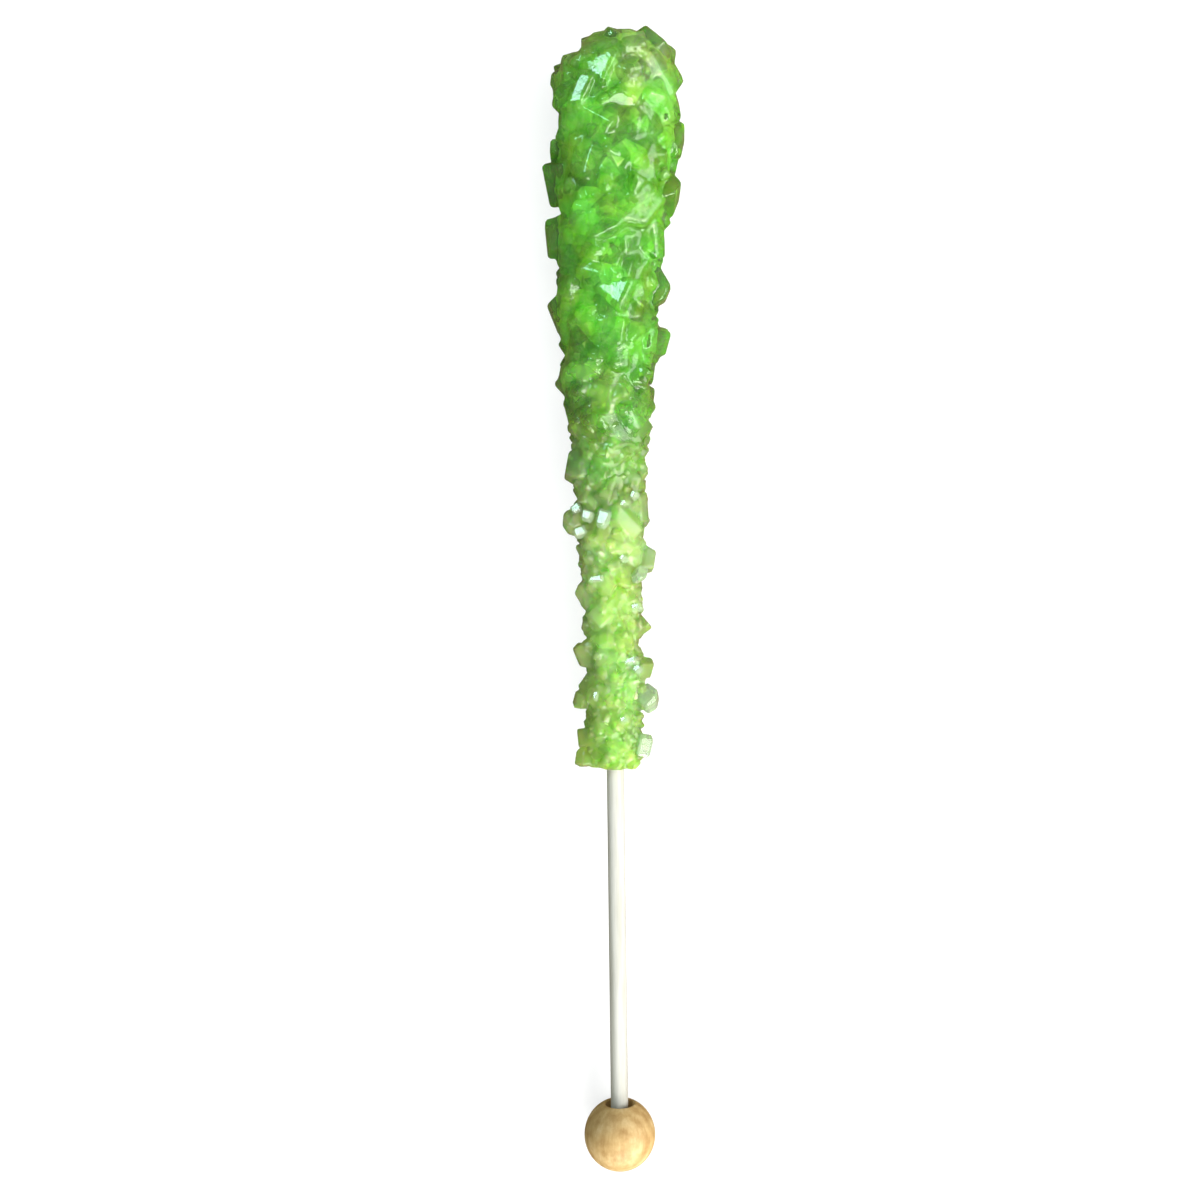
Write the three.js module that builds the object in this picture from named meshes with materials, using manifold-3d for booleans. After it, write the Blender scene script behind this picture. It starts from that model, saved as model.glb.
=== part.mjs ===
// Rock candy on a stick: green sugar crystals grown round a thin birch dowel, with a wooden ball on its lower end.
// The stick lies on a surface with its shown side up: +Y towards the candy's tip, +Z up, +X to the right.
// Millimetres. Distances along the stick are measured from the ball's centre, towards the tip.
import * as THREE from "three";
import { ConvexGeometry } from "three/addons/geometries/ConvexGeometry.js";
import { mergeVertices } from "three/addons/utils/BufferGeometryUtils.js";
import Module from "manifold-3d";

const wasm = await Module();
wasm.setup();

// Ball
const BALL_DIAMETER = 11.1;
const BALL_MOUTH_DIAMETER = 4.4;
const BALL_MOUTH_DEPTH = 2.6;
const BALL_SOCKET_DEPTH = 6.2;
const BALL_LIP = 0.35;
const BALL_REST_SPOT_DIAMETER = 2.4;
const BALL_SIDES = 32;
const BALL_ARC_STEPS = 16;
const LIP_STEPS = 3;

// Dowel
const DOWEL_DIAMETER = 2.7;
const DOWEL_CHAMFER = 0.25;
const DOWEL_SIDES = 24;
const FIT_GAP = 0.3;

// Candy: its outline is slim near the ball, widens along the taper, and ends in a blunt tip
const CANDY_START = 57.8;
const CANDY_END = 171.6;
const CANDY_SLIM_RADIUS = 5.2;
const CANDY_FULL_RADIUS = 10.8;
const TAPER_START = 80;
const TAPER_END = 152;
const TIP_LENGTH = 10.5;
const TIP_BLUNTNESS = 2.3;
const TIP_SHIFT = 1.6;
const TIP_SHIFT_START = 0.6;
const BELLY_SHIFT = 0.5;

// Crystals: sizes are half lengths, and the spacing is in crystal sizes
const SMALL_CRYSTAL = 1.6;
const LARGE_CRYSTAL = 3.1;
const CRYSTAL_SPACING = 2.05;
const GOLDEN_ANGLE = Math.PI * (3 - Math.sqrt(5));
const FIRST_CRYSTAL_INSET = 0.6;
const LAST_CRYSTAL_INSET = 0.3;
const SCATTER_SEED = 20411;
const STANDING_SEED = 733;

// Rough body under the crystals
const CORE_DEPTH = 0.65;
const CORE_RINGS = 26;
const CORE_SIDES = 12;
const CORE_ROUGHNESS = 0.1;
const CORE_TWIST = 0.2;
const CORE_SEED = 91;

// How the stick lies: the height of its axis where the candy rests
const REST_AXIS_HEIGHT = 10.3;
const REST_STATION = 156;

// The larger crystals that stand out from the rest, and the three that the candy rests on:
// distance along the stick, angle in degrees, reach from the candy's axis, size
const STANDING_OUT = [
  [59.2, -90, 6.4, 1.5],
  [68.6, 92, 6.7, 1.6],
  [68.3, -88, 6.6, 1.7],
  [95.8, -80, 7.6, 2.0],
  [104, -70, 7.6, 2.8],
  [116.5, -85, 8.3, 2.8],
  [123.4, 85, 9.9, 2.9],
  [127.5, -92, 9.4, 3],
  [132, 92, 9.9, 3],
  [139.5, -88, 9.9, 3.1],
  [147.6, -84, 10.9, 3.4],
  [146, 88, 10.6, 3],
  [154, 88, 10.9, 3],
  [163, -75, 10.4, 3.4],
  [165, 84, 9.8, 3.4],
  [171.5, -40, 1.6, 3],
  [152, 156, 11.7, 3.2],
  [152, -156, 11.7, 3.2],
  [138, 180, 10.6, 3],
];

const ballRadius = BALL_DIAMETER / 2;
const mouthRadius = BALL_MOUTH_DIAMETER / 2;
const mouthTop = Math.sqrt(ballRadius ** 2 - (mouthRadius + BALL_LIP) ** 2);
const socketFloor = mouthTop - BALL_SOCKET_DEPTH;
const dowelRadius = DOWEL_DIAMETER / 2;
const boreRadius = dowelRadius + FIT_GAP;
const dowelStart = socketFloor + FIT_GAP;
const dowelTip = CANDY_END - 2 * TIP_LENGTH;

// The stick leans up a little towards the tip, as the candy is thicker than the ball.
const ballHeight = Math.sqrt(ballRadius ** 2 - (BALL_REST_SPOT_DIAMETER / 2) ** 2);
const lean = Math.asin((REST_AXIS_HEIGHT - ballHeight) / REST_STATION);

// A small repeatable random generator with values from 0 to 1
function makeRandom(seed) {
  const multiplier = 48271;
  const modulus = 2147483647;
  let state = seed;
  return () => {
    state = (state * multiplier) % modulus;
    return state / modulus;
  };
}

const between = (random, low, high) => low + (high - low) * random();

const lerp = THREE.MathUtils.lerp;
const shareOf = (value, low, high) => THREE.MathUtils.clamp((value - low) / (high - low), 0, 1);

// A geometry with shared corners and nothing but positions
function bareGeometry(geometry) {
  return mergeVertices(geometry.clone().deleteAttribute("normal").deleteAttribute("uv"));
}

// A closed geometry as a solid that can be joined and cut
function solidOf(geometry) {
  const bare = bareGeometry(geometry);
  return new wasm.Manifold(
    new wasm.Mesh({
      numProp: 3,
      vertProperties: bare.attributes.position.array,
      triVerts: new Uint32Array(bare.index.array),
    }),
  );
}

// A solid as a geometry with flat facets
function geometryOf(solid) {
  const mesh = solid.getMesh();
  const geometry = new THREE.BufferGeometry();
  geometry.setAttribute("position", new THREE.BufferAttribute(mesh.vertProperties, 3));
  geometry.setIndex(new THREE.BufferAttribute(mesh.triVerts, 1));
  const flat = geometry.toNonIndexed();
  flat.computeVertexNormals();
  return flat;
}

// How far the crystals reach from the candy's axis, at a distance along the stick
function outerRadius(s) {
  const radius = lerp(CANDY_SLIM_RADIUS, CANDY_FULL_RADIUS, shareOf(s, TAPER_START, TAPER_END));
  const intoTip = shareOf(s, CANDY_END - TIP_LENGTH, CANDY_END);
  return radius * (1 - intoTip ** TIP_BLUNTNESS) ** (1 / TIP_BLUNTNESS);
}

// The size of a typical crystal, which grows from the slim end to the tip
function crystalSize(s) {
  return lerp(SMALL_CRYSTAL, LARGE_CRYSTAL, shareOf(s, CANDY_START, TAPER_END));
}

// The candy's axis wanders a little from the dowel's: left along the belly, right at the tip.
function candyAxis(s) {
  const share = shareOf(s, CANDY_START, CANDY_END);
  const right = TIP_SHIFT * THREE.MathUtils.smoothstep(share, TIP_SHIFT_START, 1);
  const left = BELLY_SHIFT * Math.sin(Math.PI * share) ** 4;
  return new THREE.Vector3(right - left, s, 0);
}

// A point on the candy's outline and the outward direction there. Angle 0 faces up, a quarter turn faces +X.
function outlinePoint(s, angle, reach = outerRadius(s)) {
  const step = 0.5;
  const slope = (outerRadius(s + step) - outerRadius(s - step)) / (2 * step);
  const radial = new THREE.Vector3(Math.sin(angle), 0, Math.cos(angle));
  return {
    point: candyAxis(s).addScaledVector(radial, reach),
    normal: radial.setY(-slope).normalize(),
    slope,
  };
}

// A sugar crystal's usual habit: a slanted six-sided block whose two ends are wedges
function crystalCorners(size, random) {
  const length = size * between(random, 0.9, 1.2);
  const shoulder = length * between(random, 0.5, 0.78);
  const thickness = size * between(random, 0.55, 0.85);
  const width = size * between(random, 0.5, 0.85);
  const wedge = size * between(random, 0.1, 0.32);
  const slant = size * between(random, 0.05, 0.25);
  const corners = [];
  for (const end of [-1, 1]) {
    for (const side of [-1, 1]) {
      corners.push(new THREE.Vector3(side * length, end * (width + wedge), 0));
      corners.push(new THREE.Vector3(side * shoulder + slant, end * width, thickness));
      corners.push(new THREE.Vector3(side * shoulder - slant, end * width, -thickness));
    }
  }
  return corners;
}

// A turn to any direction, each as likely as the others
function randomTurn(random) {
  const split = random();
  const first = 2 * Math.PI * random();
  const second = 2 * Math.PI * random();
  return new THREE.Quaternion(
    Math.sqrt(1 - split) * Math.sin(first),
    Math.sqrt(1 - split) * Math.cos(first),
    Math.sqrt(split) * Math.sin(second),
    Math.sqrt(split) * Math.cos(second),
  );
}

// A crystal turned at random, whose furthest corner just reaches the outline at the given point
function crystalAt({ point, normal }, size, random) {
  const corners = crystalCorners(size, random);
  const turn = randomTurn(random);
  corners.forEach((corner) => corner.applyQuaternion(turn));
  const height = Math.max(...corners.map((corner) => corner.dot(normal)));
  const centre = point.clone().addScaledVector(normal, -height);
  return new ConvexGeometry(corners.map((corner) => corner.add(centre)));
}

// Crystals spread evenly over the outline by the golden angle, each step as long as their size asks
function scatteredCrystals() {
  const random = makeRandom(SCATTER_SEED);
  const made = [];
  let s = CANDY_START + FIRST_CRYSTAL_INSET;
  while (s < CANDY_END - LAST_CRYSTAL_INSET) {
    const size = crystalSize(s) * between(random, 0.75, 1.2);
    const angle = made.length * GOLDEN_ANGLE + between(random, -0.25, 0.25);
    const depth = size * between(random, 0, 0.35);
    const spot = outlinePoint(s, angle);
    spot.point.addScaledVector(spot.normal, -depth);
    made.push(crystalAt(spot, size, random));
    const girth = 2 * Math.PI * Math.max(LARGE_CRYSTAL, outerRadius(s)) * Math.hypot(1, spot.slope);
    s += (CRYSTAL_SPACING * size) ** 2 / girth;
  }
  return made;
}

function standingCrystals() {
  const random = makeRandom(STANDING_SEED);
  return STANDING_OUT.map(([s, degrees, reach, size]) =>
    crystalAt(outlinePoint(s, THREE.MathUtils.degToRad(degrees), reach), size, random),
  );
}

// The rough body that the crystals stand on, with facets of its own
function coreGeometry() {
  const random = makeRandom(CORE_SEED);
  const coreEnd = CANDY_END - CORE_DEPTH * LARGE_CRYSTAL;
  const profile = [new THREE.Vector2(0, CANDY_START)];
  for (let ring = 0; ring <= CORE_RINGS; ring += 1) {
    const s = lerp(CANDY_START, coreEnd, Math.sin((Math.PI / 2) * (ring / CORE_RINGS)));
    profile.push(new THREE.Vector2(outerRadius(s) - CORE_DEPTH * crystalSize(s), s));
  }
  profile.push(new THREE.Vector2(0, coreEnd));
  const core = bareGeometry(new THREE.LatheGeometry(profile, CORE_SIDES));
  const position = core.attributes.position;
  const alongStick = new THREE.Vector3(0, 1, 0);
  const corner = new THREE.Vector3();
  for (let i = 0; i < position.count; i += 1) {
    corner.fromBufferAttribute(position, i);
    const s = corner.y;
    corner.setY(0);
    corner.multiplyScalar(1 + between(random, -CORE_ROUGHNESS, CORE_ROUGHNESS));
    corner.applyAxisAngle(alongStick, between(random, -CORE_TWIST, CORE_TWIST));
    corner.add(candyAxis(s));
    position.setXYZ(i, corner.x, corner.y, corner.z);
  }
  return core;
}

// Everything under the surface that the stick lies on, in the stick's own leaning frame
function floorSolid(stickToSurface) {
  const side = 400;
  const block = new THREE.BoxGeometry(side, side, side);
  block.translate(0, 0, -side / 2);
  block.applyMatrix4(stickToSurface.clone().invert());
  return solidOf(block);
}

// The crystals joined into one solid, with a bore for the dowel and a flat lower end
function candyGeometry(floor) {
  const boreEnd = dowelTip + FIT_GAP;
  const bore = new THREE.CylinderGeometry(boreRadius, boreRadius, boreEnd, DOWEL_SIDES);
  bore.translate(0, boreEnd / 2, 0);
  const lowerEnd = new THREE.BoxGeometry(CANDY_START, CANDY_START, CANDY_START);
  lowerEnd.translate(0, CANDY_START / 2, 0);
  const crystals = [coreGeometry(), ...standingCrystals(), ...scatteredCrystals()].map(solidOf);
  const candy = wasm.Manifold.union(crystals).subtract(solidOf(bore)).subtract(solidOf(lowerEnd)).subtract(floor);
  const pieces = candy.decompose().sort((a, b) => b.volume() - a.volume());
  return geometryOf(pieces[0]);
}

// A turned ball with a wide mouth that narrows to the dowel's socket, and a small flat spot that it rests on
function ballGeometry(floor) {
  const outline = [
    [0, socketFloor],
    [boreRadius, socketFloor],
    [boreRadius, mouthTop - BALL_MOUTH_DEPTH],
    [mouthRadius, mouthTop - BALL_MOUTH_DEPTH],
  ].map(([x, y]) => new THREE.Vector2(x, y));
  for (let step = 0; step < LIP_STEPS; step += 1) {
    const turn = (Math.PI / 2) * (step / LIP_STEPS);
    outline.push(
      new THREE.Vector2(mouthRadius + BALL_LIP * (1 - Math.cos(turn)), mouthTop - BALL_LIP * (1 - Math.sin(turn))),
    );
  }
  const lipAngle = Math.atan2(mouthTop, mouthRadius + BALL_LIP);
  for (let step = 0; step < BALL_ARC_STEPS; step += 1) {
    const turn = lerp(lipAngle, -Math.PI / 2, step / BALL_ARC_STEPS);
    outline.push(new THREE.Vector2(ballRadius * Math.cos(turn), ballRadius * Math.sin(turn)));
  }
  outline.push(new THREE.Vector2(0, -ballRadius));
  // The outline runs from the hole outwards, so it is turned round for faces that point out.
  const ball = new THREE.LatheGeometry(outline.reverse(), BALL_SIDES);
  return geometryOf(solidOf(ball).subtract(floor));
}

function dowelGeometry() {
  const outline = [
    [0, dowelStart],
    [dowelRadius - DOWEL_CHAMFER, dowelStart],
    [dowelRadius, dowelStart + DOWEL_CHAMFER],
    [dowelRadius, dowelTip - DOWEL_CHAMFER],
    [dowelRadius - DOWEL_CHAMFER, dowelTip],
    [0, dowelTip],
  ].map(([x, y]) => new THREE.Vector2(x, y));
  return new THREE.LatheGeometry(outline, DOWEL_SIDES);
}

function addPiece(parent, name, geometry, material) {
  const piece = new THREE.Mesh(geometry, material);
  piece.name = name;
  parent.add(piece);
}

const sugar = new THREE.MeshStandardMaterial({ color: 0x6cba48, roughness: 0.12, metalness: 0 });
const birch = new THREE.MeshStandardMaterial({ color: 0xeee6d2, roughness: 0.7, metalness: 0 });
const turnedWood = new THREE.MeshStandardMaterial({ color: 0xc9a66b, roughness: 0.45, metalness: 0 });

const stick = new THREE.Group();
stick.rotation.x = lean;
stick.position.z = ballHeight;
stick.updateMatrix();
const floor = floorSolid(stick.matrix);
addPiece(stick, "candy", candyGeometry(floor), sugar);
addPiece(stick, "dowel", dowelGeometry(), birch);
addPiece(stick, "ball", ballGeometry(floor), turnedWood);

// The part's origin is the middle of its box, on the surface that it lies on.
const part = new THREE.Group();
part.add(stick);
const box = new THREE.Box3().setFromObject(part, true);
stick.position.x -= (box.min.x + box.max.x) / 2;
stick.position.y -= (box.min.y + box.max.y) / 2;
stick.position.z -= box.min.z;

export default part;
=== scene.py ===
# Rock candy on a stick, lying on a pale floor with its shown side up.
import math

import bmesh
import bpy
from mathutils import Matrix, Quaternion, Vector, noise


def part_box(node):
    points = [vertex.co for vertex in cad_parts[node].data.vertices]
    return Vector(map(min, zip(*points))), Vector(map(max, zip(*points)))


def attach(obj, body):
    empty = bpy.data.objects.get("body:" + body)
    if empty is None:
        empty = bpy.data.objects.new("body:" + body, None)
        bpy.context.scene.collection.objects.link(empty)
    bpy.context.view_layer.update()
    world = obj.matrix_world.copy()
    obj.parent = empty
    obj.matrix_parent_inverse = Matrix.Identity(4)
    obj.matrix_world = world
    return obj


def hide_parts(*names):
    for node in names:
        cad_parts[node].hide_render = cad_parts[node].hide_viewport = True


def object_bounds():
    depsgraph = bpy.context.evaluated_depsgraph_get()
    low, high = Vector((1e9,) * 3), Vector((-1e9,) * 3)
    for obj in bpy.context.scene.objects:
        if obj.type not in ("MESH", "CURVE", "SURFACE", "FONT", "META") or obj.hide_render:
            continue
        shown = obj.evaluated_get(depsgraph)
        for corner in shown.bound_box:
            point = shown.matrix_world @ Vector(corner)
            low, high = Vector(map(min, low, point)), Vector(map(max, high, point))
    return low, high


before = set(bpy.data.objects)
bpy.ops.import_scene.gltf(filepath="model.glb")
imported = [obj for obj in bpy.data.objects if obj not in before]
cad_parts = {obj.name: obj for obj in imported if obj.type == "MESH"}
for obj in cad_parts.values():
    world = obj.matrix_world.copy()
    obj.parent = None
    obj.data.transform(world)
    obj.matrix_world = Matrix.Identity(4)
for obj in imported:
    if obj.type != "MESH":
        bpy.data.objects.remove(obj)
cad_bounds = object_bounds()

MM = 0.001

# The part's own sizes in millimetres, along the stick from the ball's centre
BALL_RADIUS = 5.55
BALL_REST_SPOT_RADIUS = 1.2
BALL_MOUTH_RADIUS = 2.2
BALL_MOUTH_DEPTH = 2.6
BALL_SOCKET_DEPTH = 6.2
BALL_LIP = 0.35
MOUTH_ROUNDING = 0.2
MOUTH_MARGIN = 0.05
SOCKET_CHAMFER = 0.1
SOCKET_MARGIN = 0.1
BALL_POLE_ANGLE = 0.01
BALL_STEPS = 72
LIP_STEPS = 10
BALL_SIDES = 128
BALL_PITH = (2.2, 0.6, -16)
BALL_RING_SCALE = 190
DOWEL_RADIUS = 1.35
DOWEL_CHAMFER = 0.25
DOWEL_STEPS = 60
DOWEL_SIDES = 40
FIT_GAP = 0.3
CANDY_START = 57.8
CANDY_END = 171.6
CANDY_SLIM_RADIUS = 5.2
CANDY_FULL_RADIUS = 10.8
TAPER_START = 80
TAPER_END = 152
TIP_LENGTH = 10.5
TIP_BLUNTNESS = 2.3
TIP_SHIFT = 1.6
TIP_SHIFT_START = 0.6
BELLY_SHIFT = 0.5
SMALL_CRYSTAL = 1.6
LARGE_CRYSTAL = 3.1
GOLDEN_ANGLE = math.pi * (3 - math.sqrt(5))
FIRST_CRYSTAL_INSET = 0.6
LAST_CRYSTAL_INSET = 0.3
REST_AXIS_HEIGHT = 10.3
REST_STATION = 156

# Seeds of the random draws for each kind of crystal
STANDING_SEED = 733
CLEAR_SEED = 88
FULL_LARGE_SEED = 20423
FULL_SMALL_SEED = 5081
SLIM_LARGE_SEED = 20411
SLIM_MEDIUM_SEED = 5077
SLIM_SMALL_SEED = 5079
CORE_MEDIUM_SEED = 77
CORE_SMALL_SEED = 78

# The crystals that stand out: distance along the stick, angle in degrees, reach from the axis, size
STANDING_OUT = [
    (59.2, -90, 6.4, 1.5),
    (68.6, 92, 6.7, 1.6),
    (68.3, -88, 6.6, 1.7),
    (95.8, -80, 7.6, 2.0),
    (104, -70, 7.6, 2.8),
    (116.5, -85, 8.3, 2.8),
    (123.4, 85, 9.9, 2.9),
    (127.5, -92, 9.4, 3),
    (132, 92, 9.9, 3),
    (139.5, -88, 9.9, 3.1),
    (147.6, -84, 10.9, 3.4),
    (146, 88, 10.6, 3),
    (154, 88, 10.9, 3),
    (163, -75, 10.4, 3.4),
    (165, 84, 9.8, 3.4),
    (171.5, -40, 1.6, 3),
    (152, 156, 11.7, 3.2),
    (152, -156, 11.7, 3.2),
    (138, 180, 10.6, 3),
]

# More of them that only the scene has, at the tip's right shoulder and down the slim end
SCENE_STANDING = [
    (167.4, 84, 9.3, 3.4),
    (170.4, 62, 6.2, 3.2),
    (89.7, 90, 6.8, 2.1),
    (79.7, 88, 6.1, 1.6),
    (73.2, 90, 6.3, 2.0),
    (75.2, -90, 6.5, 1.8),
    (84.5, -86, 6.0, 2.1),
    (62.5, -84, 5.9, 1.6),
]

# Nearly colourless crystals: distance along the stick, angle in degrees, reach from the axis, size
CLEAR_CRYSTALS = [
    (68.4, 88, 7.0, 2.0),
    (61.2, 76, 6.2, 1.8),
    (87.5, 60, 6.1, 1.6),
]

# The round drop in the left outline: distance along the stick, offset to the right, height, radius
DROP = (95.9, -5.4, 1.2, 2.1)
DROP_FLATTENING = 0.12
DROP_FACETS = 1.2

# Facets that mirror the cool lamp: distance along the stick, offset to the right of its axis,
# the facet's length and width, how much wider its far end is, and its turn in degrees
GLINTS = [
    (163.4, -0.8, 4.4, 3.0, -0.6, 40),
    (159.7, -4.6, 5.2, 2.3, 0.1, 66),
    (130.4, 0.2, 4.8, 3.2, 0.45, -25),
    (119, 4.8, 4.3, 2.1, 0.1, -42),
    (96.4, -1.7, 2.4, 1.7, 0.3, 70),
    (87.2, -2.9, 2.2, 0.8, 0.2, 5),
    (82.9, 3.6, 1.5, 0.7, 0.1, 20),
    (74.6, 2.7, 2.0, 0.8, 0.2, 15),
    (73.4, 3.8, 1.2, 0.9, 0.1, 50),
    (99.9, 3.3, 1.1, 0.7, 0.2, 60),
    (98.6, 1.6, 1.0, 0.5, 0.1, 35),
    (69.4, -3.2, 1.2, 0.6, 0.1, 75),
    (65.8, 1.2, 0.9, 0.6, 0.1, 20),
    (90.4, 1.4, 0.9, 0.5, 0.2, 40),
]

# The same for the facets on the drop, which stand out a little further
DROP_GLINTS = [
    (98.0, -6.2, 1.5, 1.2, 0.1, 30),
    (96.9, -4.3, 1.4, 1.4, 0.2, 70),
    (94.5, -5.6, 1.8, 1.2, 0.1, 20),
]
DROP_SWELL = 0.3

# The same for the facets that mirror the warm lamp
SPARKS = [
    (145.4, 4.4, 2.6, 1.5, 0.4, 65),
    (147.5, 9.0, 1.8, 1.4, 0.2, 40),
]

# The crystal behind such a facet: its depth, and how far its middle reaches from its own centre, against
# the facet's length and against half its width
GLINT_DEPTH = 2.6
GLINT_MIDDLE_LENGTH = 0.65
GLINT_MIDDLE_WIDTH = 1.3

# The step at the tip's left: how far left of the axis it starts, and from where to where along the stick
TIP_NOTCH = (-3.9, 166.5, 200)

# Where the fine crystals of the slim end give way to the large ones of the full end, how far the bodies
# and the fine crystals overlap with it, and how far in its large crystals start
FULL_START = 100
FULL_OVERLAP = 4
MEDIUM_OVERLAP = 16
SMALL_OVERLAP = 18
FULL_INSET = 3

# Hollows between the clumps of the slim end
LUMP_LENGTH = 2.6
LUMP_DEPTH = 0.9
LUMP_EDGE = 0.3
LUMP_FADE = 12

# A crystal's form, each as the least and the most: the shoulder against the length, and the rest
# against the crystal's size
CRYSTAL_LENGTH = (0.9, 1.2)
CRYSTAL_SHOULDER = (0.5, 0.78)
CRYSTAL_THICKNESS = (0.55, 0.85)
CRYSTAL_WIDTH = (0.5, 0.85)
CRYSTAL_WEDGE = (0.1, 0.32)
CRYSTAL_SLANT = (0.05, 0.25)

# How far the spread crystals vary in size, and in angle in radians
SIZE_SPREAD = (0.75, 1.2)
ANGLE_SPREAD = (-0.25, 0.25)

# How much of each edge is worn away, in percent
EDGE_WEAR = 6
CLEAR_EDGE_WEAR = 14

# The softening of the joined crystals: the size of the new mesh's grains, and the rounds of smoothing
FULL_GRAIN = 0.31
FULL_PASSES = 2
FINE_GRAIN = 0.235
FINE_SHARP_ANGLE = 15

# The bodies under the crystals: depth in crystals, rings along them and sides round them
FULL_BODY = (0.65, 40, 16)
FINE_BODY = (0.8, 40, 16)
CORE_BODY = (1.2, 60, 24)
CORE_INSET = 0.3

# Their surface: the size of its blocks and how far blocks and soft swells stand out, in crystals, the
# radius under which both fade, and the least radius
BODY_BLOCK = 1.1
BODY_BLOCK_RISE = 0.12
BODY_SWELL = 0.2
BODY_CALM_RADIUS = 2
BODY_LEAST_RADIUS = 0.05

# How far the blocks that cut pieces off reach to the sides and down
CUT_REACH = 30
FLOOR_CUT_REACH = 200
FLOOR_CUT_DEPTH = 60

# The greens of the see-through crystals and of the cloudy sugar in them, at shares of the candy's length
CRYSTAL_GREENS = [
    (0.0, (0.61, 0.88, 0.26)),
    (0.3, (0.74, 0.92, 0.43)),
    (0.4, (0.64, 0.92, 0.34)),
    (0.47, (0.58, 0.93, 0.26)),
    (0.57, (0.4, 0.85, 0.18)),
    (0.91, (0.4, 0.85, 0.18)),
    # Painted light: this last stop paints the tip paler, as if more light came through it
    (0.98, (0.8, 0.96, 0.45)),
]
CORE_GREENS = [
    (0.0, (0.57, 0.88, 0.2)),
    (0.3, (0.76, 0.92, 0.4)),
    (0.4, (0.62, 0.92, 0.28)),
    (0.56, (0.38, 0.83, 0.14)),
    (0.91, (0.38, 0.83, 0.14)),
    # Painted light: this last stop paints the tip paler, as if more light came through it
    (0.98, (0.7, 0.93, 0.36)),
]
CRYSTAL_CLOUD = (0.85, 1.0, 0.5)
CORE_CLOUD = (0.9, 1.0, 0.5)
CRYSTAL_CLOUDINESS = 0.3
CORE_CLOUDINESS = 0.5
COOL_GREEN = (0.4, 0.93, 0.42)
WARM_GREEN = (0.66, 0.84, 0.16)
COOL_SHARE = 0.3
WARM_SHARE = 0.45
COLOUR_WANDER = 0.4

# Where the cool and the warm patches, the pale clouds and the painted shade begin and end in their noise
COOL_PATCHES = [(0.5, 0), (0.66, 1)]
WARM_PATCHES = [(0.34, 1), (0.48, 0)]
CLOUD_PATCHES = [(0.48, 0), (0.72, 1)]
# Painted shade: darker cells and patches spread at random, for shaded facets and gaps inside the sugar
PAINTED_SHADE_COLOURS = [(0.45, (0.08, 0.16, 0.03)), (0.95, (1, 1, 1))]
SHADE_CELL_SHARE = 0.5

# How clear the crystals are, and how strongly the painted shade darkens them and the cloudy sugar
CLEARNESS = [(0.32, 0.77), (0.52, 0.88)]
CRYSTAL_PAINTED_SHADE = [(0.3, 0.1), (0.6, 0.3)]
CORE_PAINTED_SHADE = [(0.25, 0.5), (0.6, 0.7)]

# The scales of the sugar's patterns, from the widest to the finest
WANDER_SCALE = 120
DRIFT_SCALE = 160
SHADE_SCALE = 210
SHADE_CELL_SCALE = 330
CLOUD_SCALE = 420
RIPPLE_SCALE = 420
GRIT_SCALE = 700
FACET_SCALE = 900

# How strongly small flat faces show in the large and in the fine crystals
FULL_FACETS = 0.35
FINE_FACETS = 0.1

# How see-through sugar bends, scatters and tints the light
SUGAR_IOR = 1.45
SUGAR_SCATTER = (0.6, 1.0, 0.3)
CRYSTAL_TINT = (0.5, 0.95, 0.22)
CLEAR_GREEN = (0.82, 0.95, 0.74)
CLEAR_TINT = (0.7, 0.95, 0.6)

# The wood's grain: the scales of its patterns, how far they are drawn out along the stick, and how much
# the ball's rings, fibres and clouds each add to its tone
DOWEL_GRAIN_SCALE = 900
DOWEL_GRAIN_STRETCH = (1, 0.05, 1)
BALL_FIBRE_SCALE = 1400
BALL_FIBRE_STRETCH = (1, 0.12, 1)
BALL_CLOUD_SCALE = 380
DRILLED_GRAIN_SCALE = 1600
BALL_RING_SHARE = 0.09
BALL_FIBRE_SHARE = 0.4
BALL_CLOUD_SHARE = 0.6

# The wood's colours, from its darkest grain to its palest
DOWEL_COLOURS = [
    (0.3, (0.36, 0.355, 0.3)),
    (0.6, (0.5, 0.5, 0.46)),
]
BALL_COLOURS = [
    (0.38, (0.36, 0.21, 0.075)),
    (0.55, (0.5, 0.335, 0.14)),
    (0.75, (0.66, 0.5, 0.27)),
]
# Inside the ball's mouth: its end grain, painted much darker with the shade of the recess as well
MOUTH_GRAIN_AND_SHADE_COLOURS = [
    (0.35, (0.13, 0.08, 0.025)),
    (0.65, (0.24, 0.15, 0.06)),
]

# The camera: its height, the photograph's scale, width and middle, and the stick's column and tilt in it
CAMERA_HEIGHT = 240
MM_PER_PIXEL = 0.155
SUBJECT_HEIGHT = 8
IMAGE_SIDE = 1200
SENSOR = 36
PHOTO_MIDDLE = 83.7
STICK_COLUMN = 613.4
STICK_TILT = 0.0124

# The lights' places in metres, and their powers, sizes and colours
GLINT_PLACE = (-0.25, 0.25, 0.4)
GLINT_POWER = 0.6
GLINT_SIDE = 0.1
SPARK_PLACE = (0.3, 0.02, 0.4)
SPARK_POWER = 0.25
SPARK_SIDE = 0.07
KEY_PLACE = (0.15, -0.85, 0.55)
KEY_POWER = 4.1
KEY_ANGLE = 40
SIDE_PLACE = (0.8, -0.1, 0.6)
SIDE_POWER = 3.1
SIDE_ANGLE = 50
SUN_COLOUR = (1, 0.98, 0.95)
GLINT_COLOUR = (0.6, 0.95, 0.95)
SPARK_COLOUR = (1, 0.95, 0.75)

# The world's light at its dim and its bright side, and the even tone that the camera sees instead
WORLD_DIM = 0.3
WORLD_BRIGHT = 0.8
WORLD_TURN = 0.9
BACKDROP = 1.0

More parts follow.
